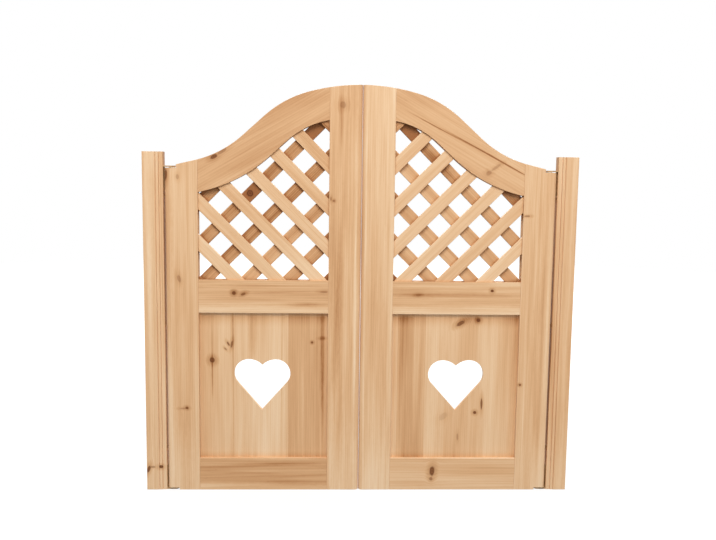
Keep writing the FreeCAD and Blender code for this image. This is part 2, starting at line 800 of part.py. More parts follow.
def panel_boards():
    """Five edge-glued boards in each leaf, with the heart cut through them."""
    cutter = heart()
    height = ("bottom_rail_width - panel_groove_depth", "mid_rail_bottom + panel_grip")
    for side in SIDES:
        lines = board_lines(side)
        for number, span in enumerate(zip(lines, lines[1:]), start=1):
            board = cut(block(f"Board_{side}_{number}", span, through("panel_thickness"), height),
                        cutter)
            keep(f"{side}_panel_board_{number}", mirrored(board) if side == "left" else board)


# ---------------------------------------------------------------- lattice

def slat(layer, number, field):
    """One slat trimmed to the field. Front slats rise towards the post, back slats fall."""
    rising = layer == "front"
    way = "1" if rising else "-1"
    stock = DOC.addObject("Part::Box", f"{layer.capitalize()}_stock_{number}")
    bind(stock, Length="overall_width", Width="slat_thickness", Height="slat_width")
    place(stock,
          x=f"{way} * slat_width / 2 * sin(45deg)",
          y="-slat_thickness" if rising else "0",
          z=f"{layer}_slat_start + {number} * lattice_pitch - slat_width / 2 * cos(45deg)",
          rotation=FreeCAD.Rotation(ACROSS, -45 if rising else 45))
    return common(f"{layer.capitalize()}_slat_{number}", stock, field)


def lattice():
    """Both layers of slats, with the short corner pieces of each leaf as one group."""
    field = grown_window("Lattice_field", "slat_grip", "lattice_thickness")
    for layer, numbers in FULL_SLATS.items():
        for number in numbers:
            keep_pair(f"{layer}_slat_{number}", slat(layer, number, field))
    corners = [slat(layer, number, field) for layer, number in CORNER_SLATS]
    keep_pair("lattice_corner_pieces", group("Corner_pieces", corners))


# ---------------------------------------------------------------- checks and export

def check_document():
    """Stop if any object failed to rebuild or any piece isn't a sound solid."""
    for item in DOC.Objects:
        if "Invalid" in item.State or "Error" in item.State:
            raise RuntimeError(f"{item.Label} failed: {item.State}")
    for label, piece in PIECES.items():
        shape = piece.Shape
        if shape.isNull() or not shape.isValid() or not shape.Solids:
            raise RuntimeError(f"{label} isn't a sound solid")


def export_pieces():
    """Write each piece to a file of its own."""
    os.makedirs("parts", exist_ok=True)
    for label, piece in PIECES.items():
        piece.Shape.exportStep(f"parts/{label}.step")


fill_sheet("Sizes", {alias: str(value) for alias, value in SIZES.items()})
fill_sheet("Worked", {alias: "=" + formula(text) for alias, text in WORKED.items()})
posts()
brackets()
bracket_screws()
pivot_pins()
pivot_bushes()
spring_sleeve()
return_spring()
leaf_frame()
panel_boards()
lattice()
DOC.recompute()
check_document()
export_pieces()
print(len(PIECES), "pieces")
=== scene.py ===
"""Finish of the cafe swinging doors: sanded pine, bronzed brackets, pale floor and studio light.

Blender works in metres, and the working sizes here are in millimetres. Every piece of wood has its
grain along its length and its own figure, and many have knots and streaks. The arrises of all the
wood but the dowels are sanded round.
"""
import json
import math
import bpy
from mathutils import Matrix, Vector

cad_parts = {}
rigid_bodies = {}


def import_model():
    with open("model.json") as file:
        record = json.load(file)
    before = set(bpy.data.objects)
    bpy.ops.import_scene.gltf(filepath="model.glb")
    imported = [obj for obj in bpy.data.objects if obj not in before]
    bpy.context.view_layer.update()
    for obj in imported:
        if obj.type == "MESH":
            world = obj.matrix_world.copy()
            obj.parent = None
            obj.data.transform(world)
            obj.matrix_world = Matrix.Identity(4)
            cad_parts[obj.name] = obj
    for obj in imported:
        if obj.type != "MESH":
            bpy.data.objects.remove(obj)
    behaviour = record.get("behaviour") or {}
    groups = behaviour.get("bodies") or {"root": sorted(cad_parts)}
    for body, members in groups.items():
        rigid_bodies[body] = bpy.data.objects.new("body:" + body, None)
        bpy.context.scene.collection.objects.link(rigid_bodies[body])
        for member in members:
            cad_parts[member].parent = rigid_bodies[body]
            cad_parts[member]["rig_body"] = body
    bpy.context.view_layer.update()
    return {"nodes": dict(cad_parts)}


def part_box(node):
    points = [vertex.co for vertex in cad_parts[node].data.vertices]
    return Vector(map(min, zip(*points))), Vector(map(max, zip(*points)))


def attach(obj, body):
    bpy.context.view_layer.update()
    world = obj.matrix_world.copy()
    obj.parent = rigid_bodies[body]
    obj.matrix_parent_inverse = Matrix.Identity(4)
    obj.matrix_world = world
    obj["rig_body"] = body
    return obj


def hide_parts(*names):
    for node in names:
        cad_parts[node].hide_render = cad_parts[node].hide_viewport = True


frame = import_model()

import zlib
from collections import namedtuple

import bpy
from mathutils import Matrix, Vector

MM = 0.001

# ---------------------------------------------------------------- camera and light

IMAGE_WIDTH = 716
CAMERA_PLACE = (-63.5, -1666.0, 664.5)
CAMERA_YAW, CAMERA_PITCH, CAMERA_ROLL = -1.984, -6.499, -0.756
FOCAL_PIXELS = 798.95
SENSOR = 36.0

Lamp = namedtuple("Lamp", "name place width height power")
LAMPS = (
    Lamp("key softbox", (-400, -2900, 3500), 3400, 1800, 160.0),
    Lamp("fill softbox", (2100, -3200, 1300), 2000, 1800, 24.0),
    Lamp("back softbox", (400, 3200, 2500), 2600, 1800, 125.0),
)
LAMP_TARGET = (0, 0, 420)
WHITE = (1.0, 1.0, 1.0)
SKY_LEVEL = 0.33
FLOOR_RADIUS = 5000
FLOOR_FACETS = 96
FLOOR_DEPTH = 0.3
FLOOR_COLOR = (0.22, 0.22, 0.22)
FLOOR_ROUGHNESS = 0.9
# Seen directly, the grey floor glows until it looks white: first near the doors, then far away.
FLOOR_LIFT = (0.78, 1.0)
FLOOR_FADE = (500, 2200)

# ---------------------------------------------------------------- finishes

# The colours of pine, from the palest sapwood, at 0, to the heart of a board, at 1.
PINE_COLORS = (
    (0.0, (0.900, 0.692, 0.480)),
    (0.25, (0.820, 0.562, 0.338)),
    (0.5, (0.722, 0.437, 0.230)),
    (0.75, (0.580, 0.308, 0.142)),
    (0.9, (0.440, 0.206, 0.080)),
    (1.0, (0.320, 0.124, 0.040)),
)
PINE_GLOSS = 0.2
# A relief is at most this high, and its strength is from 0 to 1.
PINE_RELIEF = 0.25
PINE_RELIEF_STRENGTH = 0.35
# What is added to the depth of colour round a knot, on a worn arris, and in an inner corner, where
# it is painted shade.
HALO_DEPTH = 0.28
ARRIS_DEPTH = -0.25
CORNER_SHADE_DEPTH = 0.28
CORNER_SHADE_REACH = 12.0
# Along its frame a panel is painted deeper in colour, as painted shade cast by the frame: how much,
# how far in, and how far from the frame the shade takes to come in. Above, below and at the sides.
PANEL_TOP_SHADE = (0.46, 34.0, 11.0)
PANEL_FOOT_SHADE = (0.24, 16.0, 0.1)
PANEL_SIDE_SHADE = (0.17, 16.0, 7.0)
# Where the painted shade is full, as a share of its reach and so behind the frame's edge, and how
# much of it is left right beside the frame. There it turns negative: a painted light that makes the
# wood a little paler and softens the shadow line.
SHADE_FULL_AT = -0.3
SHADE_AT_FRAME = -0.3
KNOT_PALE = (0.27, 0.088, 0.022)
KNOT_DARK = (0.065, 0.016, 0.004)

# How far from an arris it is worn, and how much.
WOOD_WEAR = {"Radius": 1.2 * MM, "Strength": 0.35}
METAL_WEAR = {"Radius": 0.5 * MM, "Strength": 0.5}
# What wear adds to the roughness of the wood.
WORN_ROUGHNESS = -0.15

BRONZE = (0.57, 0.355, 0.17)
SLEEVE_STEEL = (0.58, 0.59, 0.61)
SPRING_STEEL = (0.36, 0.36, 0.38)
# A steel's grain changes this much along X, Y and Z: drawn along Z, or wound round it.
DRAWN = (1.0, 1.0, 0.05)
WOUND = (0.3, 0.3, 1.0)
# The part of the clouds' range over which a metal's colour turns, and what makes it rougher.
CLOUD_RANGE = (0.35, 0.7)
PLATED_ROUGHNESS, CLOUD_ROUGHNESS, LINE_ROUGHNESS = 0.24, 0.12, 0.22
BRONZE_CLOUDS = (0.3, 0.7)
BRONZE_ROUGHNESS = (0.55, 0.72)
METAL_RELIEF = 0.05
METAL_RELIEF_STRENGTH = 0.2

NYLON_PALE = (0.83, 0.80, 0.70)
NYLON_DEEP = (0.72, 0.68, 0.57)
NYLON_MILK = 0.15
NYLON_ROUGHNESS = (0.34, 0.5)
BLOOM_COLOR_RANGE = (0.3, 0.7)
BLOOM_RANGE = (0.2, 0.8)
NYLON_RELIEF = 0.08
NYLON_RELIEF_STRENGTH = 0.15

# A mark has its middle, its half sizes across and along plumb grain, how many degrees it is then
# turned clockwise, seen from the front, and its strength, which is negative for paler wood.
Knot = namedtuple("Knot", "x z across along turn strength")
Streak = namedtuple("Streak", "x z across along turn strength")
# A panel's mark shows on the boards that are nearer to its middle than this.
MARK_REACH = 25.0

# Marks are listed under a piece, or under "left_panel" and "right_panel" for its glued boards.
KNOTS = {
    "left_post": (
        Knot(-446, 45, 3.5, 9, 20, 0.9),
        Knot(-438, 50, 2.5, 7, 90, 0.5),
        Knot(-420, 50, 4.5, 4, 0, 0.95),
    ),
    "left_outer_stile": (
        Knot(-364, 179, 3.5, 3, 0, 0.9),
        Knot(-372, 178, 2, 8, 90, 0.35),
        Knot(-377, 454, 4, 9, -15, 0.45),
        Knot(-402, 668, 3.5, 13, 5, 0.85),
        Knot(-394, 688, 3, 7, 30, 0.3),
        Knot(-378, 664, 3.5, 6, 0, 0.35),
    ),
    "left_meeting_stile": (
        Knot(-41, 814, 7, 8, 0, 0.42),
        Knot(-58, 619, 3, 2.5, 0, 0.6),
        Knot(-64, 623, 2, 5, 0, 0.5),
    ),
    "left_top_rail": (
        Knot(-304, 706, 4.5, 9, 65, 0.9),
        Knot(-287, 717, 4, 12, 58, 0.5),
    ),
    "left_mid_rail": (
        Knot(-264, 425, 4.5, 4.5, 0, 0.95),
        Knot(-245, 423, 3, 6, 70, 0.8),
        Knot(-77, 429, 2.5, 9, 90, 0.45),
    ),
    "left_panel": (
        Knot(-311, 281, 6, 6.5, 0, 0.95),
        Knot(-277, 316, 2.2, 6, -30, 0.8),
        Knot(-270, 315, 2.6, 9, 12, 0.75),
        Knot(-283, 305, 1.8, 4.5, -40, 0.6),
        Knot(-101, 320, 2.6, 2.6, 0, 0.9),
        Knot(-79, 329, 2.2, 5.5, 90, 0.55),
    ),
    "left_back_slat_4": (
        Knot(-231, 632, 8.5, 8.5, 0, 1.0),
    ),
    "right_top_rail": (
        Knot(262, 680, 5, 7, 60, 0.42),
        Knot(277, 692, 3, 14, 55, 0.36),
    ),
    "right_mid_rail": (
        Knot(277, 434, 3.8, 3.2, 0, 1.0),
        Knot(121, 424, 3, 6, 90, 0.5),
    ),
    "right_bottom_rail": (
        Knot(159, 41, 6, 12, 5, 0.9),
        Knot(157, 24, 4, 4.5, 0, 0.6),
    ),
    "right_outer_stile": (
        Knot(343, 232, 2.8, 2.5, 0, 0.9),
        Knot(345, 592, 2.0, 7, 90, 0.6),
    ),
    "right_panel": (
        Knot(213, 363, 4.5, 11, 60, 0.85),
        Knot(251, 370, 4.5, 4.5, 0, 1.0),
        Knot(249, 169, 3.8, 3.8, 0, 0.95),
        Knot(263, 188, 2.4, 14, 0, 0.85),
        Knot(213, 115, 2, 9, 0, 0.4),
        Knot(181, 160, 7, 12, 50, 0.2),
    ),
}

# The narrow streaks at these places are painted shade: they deepen the side faces of the posts and
# of a meeting stile, so that the gaps beside them look dark.
SHADED_POST_FACE = 407.5
SHADED_MEETING_FACE = 0.4
STREAKS = {
    "left_top_rail": (
        Streak(-200, 742, 5, 110, 60, 0.10),
        Streak(-100, 825, 20, 50, 80, 0.08),
        Streak(-295, 655, 18, 60, 70, -0.13),
    ),
    "right_top_rail": (
        Streak(110, 830, 18, 60, -80, 0.10),
        Streak(160, 768, 1.5, 80, -63, 0.45),
        Streak(268, 714, 1.5, 105, -62, 0.75),
        Streak(278, 708, 3.5, 70, -62, 0.14),
        Streak(302, 706, 8, 45, -62, -0.13),
    ),
    "left_mid_rail": (
        Streak(-200, 441, 1.8, 130, 90, 0.25),
        Streak(-115, 402, 5, 38, 90, 0.28),
        Streak(-150, 428, 2, 70, 88, 0.15),
        Streak(-200, 388, 13, 300, 90, -0.22),
        Streak(-300, 440, 9, 60, 90, -0.10),
    ),
    "right_mid_rail": (
        Streak(200, 424, 5, 150, 90, 0.25),
        Streak(120, 428, 12, 60, 90, 0.15),
        Streak(200, 445, 5, 260, 90, -0.12),
        Streak(215, 430, 6, 60, 90, 0.11),
        Streak(308, 452, 9, 40, 90, -0.18),
        Streak(200, 388, 16, 300, 90, -0.26),
    ),
    "left_bottom_rail": (
        Streak(-200, 55, 4, 130, 88, 0.12),
        Streak(-250, 38, 3, 90, 92, 0.12),
        Streak(-120, 30, 4, 90, 87, 0.10),
        Streak(-205, 6, 9, 400, 90, -0.28),
        Streak(-160, 60, 7, 130, 90, 0.12),
        # Painted highlight along the top of the rail, which is lit from above.
        Streak(-205, 71, 2.0, 600, 90, -0.18),
    ),
    "right_bottom_rail": (
        Streak(115, 14, 13, 75, 90, 0.14),
        Streak(205, 59, 6, 300, 90, -0.07),
        # Painted highlight along the top of the rail, which is lit from above.
        Streak(205, 71, 2.0, 600, 90, -0.30),
    ),
    "left_panel": (
        Streak(-79, 290, 5, 110, 0, 0.30),
        Streak(-78, 180, 4, 90, 0, 0.20),
        Streak(-92, 300, 5, 90, 0, 0.12),
        Streak(-120, 210, 4, 170, 0, -0.15),
        Streak(-226, 345, 9, 60, 0, 0.25),
        Streak(-165, 220, 2, 170, 0, 0.20),
        Streak(-267, 230, 1.8, 180, 0, 0.30),
        Streak(-311, 315, 2, 55, 0, 0.22),
        Streak(-311, 245, 2, 45, 0, 0.35),
        Streak(-268, 345, 5, 45, 0, 0.22),
    ),
    "left_meeting_stile": (
        Streak(-41, 180, 7, 180, 0, 0.26),
        Streak(-48, 350, 9, 130, 2, 0.22),
        Streak(-54, 480, 15, 150, 0, 0.22),
        Streak(-41, 520, 8, 150, 0, 0.16),
        Streak(-45, 760, 22, 120, 0, 0.10),
        Streak(-60, 120, 6, 130, 0, -0.30),
        Streak(-20, 790, 14, 90, 0, 0.11),
        # Painted highlight along the rounded meeting edge.
        Streak(-12, 430, 4, 400, 0, -0.30),
        Streak(-44, 790, 4, 60, 0, 0.15),
        Streak(-33, 0, 60, 120, 0, -0.20),
    ),
    "left_outer_stile": (
        Streak(-344, 330, 3, 330, 0, -0.12),
        Streak(-398, 150, 8, 160, 0, -0.16),
        # Painted shade on the leaf's edge beside the gap to the post.
        Streak(-400, 550, 12, 165, 0, 0.33),
        Streak(-380, 400, 14, 130, 0, 0.12),
        Streak(-366, 620, 8, 60, 0, -0.08),
        Streak(-382, 20, 40, 120, 0, -0.26),
    ),
    "left_post": (
        Streak(-432, 10, 40, 110, 0, -0.22),
        Streak(-437, 330, 5, 300, 0, -0.22),
        Streak(-440, 620, 9, 160, 0, -0.22),
        Streak(-432, 715, 20, 50, 0, -0.10),
        # Painted shade on the post's inner strip, beside the gap to the leaf.
        Streak(-412, 480, 2, 220, 0, 0.20),
        Streak(-SHADED_POST_FACE, 340, 1.2, 700, 0, 0.42),
    ),
    "right_post": (
        Streak(428, 0, 40, 110, 0, -0.18),
        # Painted shade on the post's inner strip, beside the gap to the leaf.
        Streak(411, 400, 5, 330, 0, 0.14),
        Streak(440, 400, 7, 400, 0, -0.15),
        Streak(443, 690, 8, 90, 0, -0.14),
        Streak(444, 290, 8, 110, 0, 0.12),
        Streak(SHADED_POST_FACE, 340, 1.2, 700, 0, 0.42),
    ),
    "right_outer_stile": (
        Streak(345, 30, 10, 110, 0, -0.12),
        Streak(352, 330, 2.5, 300, 0, -0.16),
        Streak(342, 580, 8, 100, 0, -0.11),
        Streak(372, 460, 4, 210, 0, 0.16),
        Streak(377, 300, 6, 300, 0, 0.10),
        Streak(385, 250, 5, 260, 0, 0.16),
        Streak(387, 380, 10, 220, 0, 0.18),
        Streak(390, 10, 30, 110, 0, -0.20),
        Streak(396, 330, 3, 300, 0, -0.10),
    ),
    "right_meeting_stile": (
        Streak(SHADED_MEETING_FACE, 120, 1.0, 260, 0, 0.45),
        Streak(33, 0, 60, 100, 0, -0.14),
        Streak(51, 120, 8, 110, 0, -0.12),
        Streak(60, 330, 3, 300, 0, -0.10),
        Streak(57, 470, 9, 140, 0, 0.17),
        Streak(62, 760, 8, 90, 0, 0.10),
        # Painted highlight along the rounded meeting edge.
        Streak(9, 430, 3, 400, 0, -0.25),
        Streak(28, 420, 6, 300, 0, 0.10),
    ),
    "right_panel": (
        Streak(88, 250, 5, 150, 0, 0.14),
        Streak(112, 250, 4, 160, 0, 0.10),
        Streak(131, 260, 5, 150, 0, 0.12),
        Streak(160, 230, 12, 220, 0, -0.12),
        Streak(330, 230, 9, 160, 0, 0.12),
    ),
    "left_back_slat_4": (
        # Painted shade: this first streak darkens the slat's top corner under the top rail.
        Streak(-99, 763, 20, 32, 45, 0.38),
        Streak(-222, 642, 16, 30, 45, 0.10),
        Streak(-300, 564, 20, 40, 45, -0.10),
    ),
    "right_back_slat_4": (
        # Painted shade: this first streak darkens the slat's top corner under the top rail.
        Streak(97, 763, 20, 32, -45, 0.50),
        Streak(160, 700, 16, 55, -45, 0.22),
    ),
}

# Depth is the middle colour of the piece, and the figure strengths are in the same measure.
Wood = namedtuple("Wood", "depth ring_width rings lines bands fibre")
WOODS = {
    "post": Wood(0.42, 3.2, 0.07, 0.20, 0.26, 0.08),
    "outer_stile": Wood(0.44, 3.6, 0.07, 0.19, 0.30, 0.08),
    "meeting_stile": Wood(0.44, 4.0, 0.07, 0.19, 0.34, 0.08),
    "top_rail": Wood(0.56, 5.2, 0.07, 0.15, 0.16, 0.08),
    "mid_rail": Wood(0.48, 4.2, 0.08, 0.18, 0.26, 0.08),
    "bottom_rail": Wood(0.50, 4.6, 0.08, 0.14, 0.28, 0.08),
    "panel_board": Wood(0.42, 3.8, 0.06, 0.14, 0.30, 0.08),
    "front_slat": Wood(0.38, 3.4, 0.06, 0.20, 0.24, 0.09),
    # The back slats and lattice corner pieces are deeper in colour than the front slats as painted
    # shade from the front slats and the top rail.
    "back_slat": Wood(0.66, 3.4, 0.09, 0.22, 0.26, 0.09),
    "lattice_corner_pieces": Wood(0.90, 3.4, 0.10, 0.24, 0.24, 0.09),
    "dowels": Wood(0.45, 2.0, 0.10, 0.18, 0.20, 0.14),
}
OWN_DEPTHS = {
    "left_bottom_rail": 0.60,
    "left_top_rail": 0.60,
    "left_meeting_stile": 0.50,
    "left_panel_board_1": 0.52,
    "left_panel_board_2": 0.50,
    "left_panel_board_3": 0.34,
    "left_panel_board_4": 0.32,
    "left_panel_board_5": 0.42,
    "right_bottom_rail": 0.44,
    "right_mid_rail": 0.49,
    "right_outer_stile": 0.42,
    "right_meeting_stile": 0.36,
    "right_panel_board_1": 0.30,
    "right_panel_board_2": 0.57,
    "right_panel_board_3": 0.30,
    "right_panel_board_4": 0.42,
    "right_panel_board_5": 0.43,
    # The back slats' own depths include that painted shade, deepening towards the meeting stile on
    # the left leaf.
    "right_back_slat_2": 0.56,
    "right_back_slat_3": 0.56,
    "left_back_slat_1": 0.74,
    "left_back_slat_3": 0.84,
    "left_back_slat_4": 0.86,
    "left_back_slat_5": 0.88,
    "right_back_slat_5": 0.80,
    "left_front_slat_2": 0.42,
    "left_front_slat_4": 0.42,
    "left_front_slat_5": 0.50,
    "left_front_slat_6": 0.54,
    "right_front_slat_1": 0.32,
    "right_front_slat_2": 0.47,
    "right_front_slat_3": 0.30,
}

# How far each kind of piece has its grain turned from plumb, about the Y axis, on the right leaf.
TOP_RAIL_LEAN = 120.0
GRAIN_TURNS = {"rail": 90.0, "front_slat": 45.0, "back_slat": 135.0, "dowels": 90.0,
               "corner_pieces": 45.0}
# Each piece has its figure moved: by up to half the spread across the grain, to the front or back
# by the least distance and up to the range more, and by a number of spacings along the grain.
FIGURE_SPREAD = 160.0
FIGURE_LEAST, FIGURE_RANGE = 45.0, 60.0
FIGURE_SPACING = 370.0
FIGURE_STEPS = (97, 89, 83)

# Sanded arrises: their radii, and how far the faces that they edge lie from the middle.
FRAME_ARRIS = 0.7
SLAT_ARRIS = 1.1
HEART_ARRIS = 0.5
FRAME_FACE = 11.0
PANEL_FACE = 4.0


# ---------------------------------------------------------------- node helpers

# Where a Mix node has its factor, its two colours and the colour between them.
MIX_FACTOR, MIX_FIRST, MIX_SECOND, MIX_RESULT = 0, 6, 7, 2


class Graph:
    """Adds shader nodes to a tree and feeds each one as it is added."""

    def __init__(self, tree):
        self.tree = tree

    def node(self, kind, feeds=(), **settings):
        """A node with its settings made and its sockets fed with values or other sockets."""
        made = self.tree.nodes.new("ShaderNode" + kind)
        for name, value in settings.items():
            setattr(made, name, value)
        for socket, value in dict(feeds).items():
            self.feed(made.inputs[socket], value)
        return made

    def feed(self, socket, value):
        """Link a socket, or set its value."""
        if isinstance(value, bpy.types.NodeSocket):
            self.tree.links.new(value, socket)
        elif socket.type == "RGBA" and len(value) == 3:
            socket.default_value = (*value, 1.0)
        else:
            socket.default_value = value

    def math(self, operation, *values):
        """A number worked out from others."""
        made = self.node("Math", enumerate(values), operation=operation)
        return made.outputs[0]

    def vector(self, operation, *values):
        """A vector worked out from others."""
        made = self.node("VectorMath", enumerate(values), operation=operation)
        return made.outputs["Vector"]

    def scaled(self, vector, by):
        """A vector times a number."""
        made = self.node("VectorMath", {0: vector, "Scale": by}, operation="SCALE")
        return made.outputs["Vector"]

    def noise(self, vector, scale, detail=2.0, roughness=0.5, output="Fac"):
        """Noise, from 0 to 1, with this many patches in a metre."""
        feeds = {"Vector": vector, "Scale": scale, "Detail": detail, "Roughness": roughness}
        return self.node("TexNoise", feeds).outputs[output]

    def remap(self, value, low, high, to_low=0.0, to_high=1.0):
        """A number moved smoothly from one range to another."""
        feeds = {"Value": value, "From Min": low, "From Max": high,
                 "To Min": to_low, "To Max": to_high}
        return self.node("MapRange", feeds, interpolation_type="SMOOTHSTEP").outputs["Result"]

    def blend(self, factor, first, second):
        """A colour between two others."""
        made = self.node("Mix", data_type="RGBA")
        self.feed(made.inputs[MIX_FACTOR], factor)
        self.feed(made.inputs[MIX_FIRST], first)
        self.feed(made.inputs[MIX_SECOND], second)
        return made.outputs[MIX_RESULT]

    def use(self, tree, feeds):
        """The outputs of a shared effect, by name."""
        made = self.node("Group", node_tree=tree)
        for label, value in feeds.items():
            self.feed(made.inputs[label], value)
        return {socket.name: socket for socket in made.outputs}


def effect(name, inputs, outputs):
    """A new effect with named sockets: its graph, what it is given and what it gives."""
    tree = bpy.data.node_groups.new(name, "ShaderNodeTree")
    for label, default in inputs.items():
        kind = "NodeSocketVector" if isinstance(default, tuple) else "NodeSocketFloat"
        socket = tree.interface.new_socket(label, in_out="INPUT", socket_type=kind)
        socket.default_value = default
    for label, kind in outputs.items():
        tree.interface.new_socket(label, in_out="OUTPUT", socket_type="NodeSocket" + kind)
    given = tree.nodes.new("NodeGroupInput").outputs
    gives = tree.nodes.new("NodeGroupOutput").inputs
    return Graph(tree), given, gives


# ---------------------------------------------------------------- shared effects

ORIGIN = (0.0, 0.0, 0.0)
SPOT = {"Position": ORIGIN, "Centre": ORIGIN, "Across": 5 * MM, "Along": 5 * MM, "Turn": 0.0}
ALONG_FACE = (1.0, 0.0, 1.0)
RAGGED_STRETCH = (1.0, 1.0, 0.3)

# Each pair of reaches gives where an effect begins and where it is full: 1 is the spot's edge.
STREAK_EDGE = (1.45, 0.1)
KNOT_EDGE = (1.15, 0.6)
KNOT_RIM = (0.45, 0.95)
KNOT_HALO = (2.9, 0.9)
KNOT_PULL = (3.2, 0.3)
# By a knot the figure is taken from nearer its middle, by this share of the way, so that the grain
# bends round it. Its rings shade it about a middle by a swing either way, and its rim adds more.
PULL_SHARE = -0.85
RING_TURNS = 13.0
RING_MIDDLE, RING_SWING, RIM_SHADE = 0.52, 0.22, 0.5


def make_spot():
    """How far a point is from the middle of a long round spot, where its edge is at 1."""
    graph, given, gives = effect("Spot", {**SPOT, "Raggedness": 0.6},
                                 {"Reach": "Float", "Offset": "Vector"})
    offset = graph.vector("SUBTRACT", given["Position"], given["Centre"])
    flat = graph.vector("MULTIPLY", offset, ALONG_FACE)
    turned = graph.node("VectorRotate", {"Vector": flat, "Angle": given["Turn"]},
                        rotation_type="Y_AXIS").outputs["Vector"]
    parts = graph.node("SeparateXYZ", {"Vector": turned}).outputs
    across = graph.math("DIVIDE", parts["X"], given["Across"])
    along = graph.math("DIVIDE", parts["Z"], given["Along"])
    round_reach = graph.math("SQRT", graph.math("ADD", graph.math("MULTIPLY", across, across),
                                                graph.math("MULTIPLY", along, along)))
    stretched = graph.vector("MULTIPLY", turned, RAGGED_STRETCH)
    ragged = graph.math("SUBTRACT", graph.noise(stretched, scale=230.0, detail=3.0), 0.5)
    graph.feed(gives["Reach"], graph.math("MULTIPLY_ADD", ragged, given["Raggedness"],
                                          round_reach))
    graph.feed(gives["Offset"], flat)
    return graph.tree


def make_knot(spot):
    """A knot: the grain bends round it, and it has rings, a dark rim and a tinted halo."""
    graph, given, gives = effect(
        "Knot",
        {**SPOT, "Bend": ORIGIN, "Cover": 0.0, "Shade": 0.0, "Halo": 0.0, "Strength": 1.0},
        {"Bend": "Vector", "Cover": "Float", "Shade": "Float", "Halo": "Float"})
    place = graph.use(spot, {label: given[label] for label in SPOT})
    reach = place["Reach"]
    core = graph.math("MULTIPLY", graph.remap(reach, *KNOT_EDGE), given["Strength"])
    wave = graph.math("SINE", graph.math("MULTIPLY", reach, RING_TURNS))
    rings = graph.math("MULTIPLY_ADD", wave, RING_SWING, RING_MIDDLE)
    rim = graph.math("ADD", rings, graph.remap(reach, *KNOT_RIM, 0.0, RIM_SHADE))
    halo = graph.math("MULTIPLY", graph.remap(reach, *KNOT_HALO), given["Strength"])
    pull = graph.math("MULTIPLY", graph.remap(reach, *KNOT_PULL, 0.0, PULL_SHARE),
                      given["Strength"])
    graph.feed(gives["Bend"], graph.vector("ADD", given["Bend"],
                                           graph.scaled(place["Offset"], pull)))
    graph.feed(gives["Cover"], graph.math("MAXIMUM", given["Cover"], core))
    graph.feed(gives["Shade"], graph.math("MAXIMUM", given["Shade"],
                                          graph.math("MULTIPLY", rim, core)))
    graph.feed(gives["Halo"], graph.math("MAXIMUM", given["Halo"], halo))
    return graph.tree


def make_streak(spot):
    """A long soft streak of darker or, with a negative strength, paler wood."""
    graph, given, gives = effect("Grain streak", {**SPOT, "Amount": 0.0, "Strength": 0.5},
                                 {"Amount": "Float"})
    place = graph.use(spot, {label: given[label] for label in SPOT})
    mask = graph.remap(place["Reach"], *STREAK_EDGE)
    graph.feed(gives["Amount"], graph.math("MULTIPLY_ADD", mask, given["Strength"],
                                           given["Amount"]))
    return graph.tree


# The tree wanders off a straight line within this width, and its rings drift by up to this many.
TREE_WANDER = (30 * MM, 30 * MM, 0.0)
RING_DRIFT = 1.6
ACROSS_GRAIN = (1.0, 1.0, 0.0)
# A year's ring darkens slowly towards its late wood, and ends sharply.
LATE_START, LATE_FULL, RING_FADE, RING_END = 0.15, 0.85, 0.88, 1.0
# The parts of a noise's range that the lines, the bands and the dark ticks are drawn from.
LINE_RANGE = (0.3, 0.7)
BAND_RANGE = (0.25, 0.75)
TICK_RANGE = (0.68, 0.78)
TICK_DEPTH = 0.12
# What fibre and late wood add to the relief and to the roughness.
FIBRE_RELIEF, LATE_RELIEF = 0.6, 0.4
SANDED_ROUGHNESS, FIBRE_ROUGHNESS, LATE_ROUGHNESS = 0.5, 0.14, -0.06


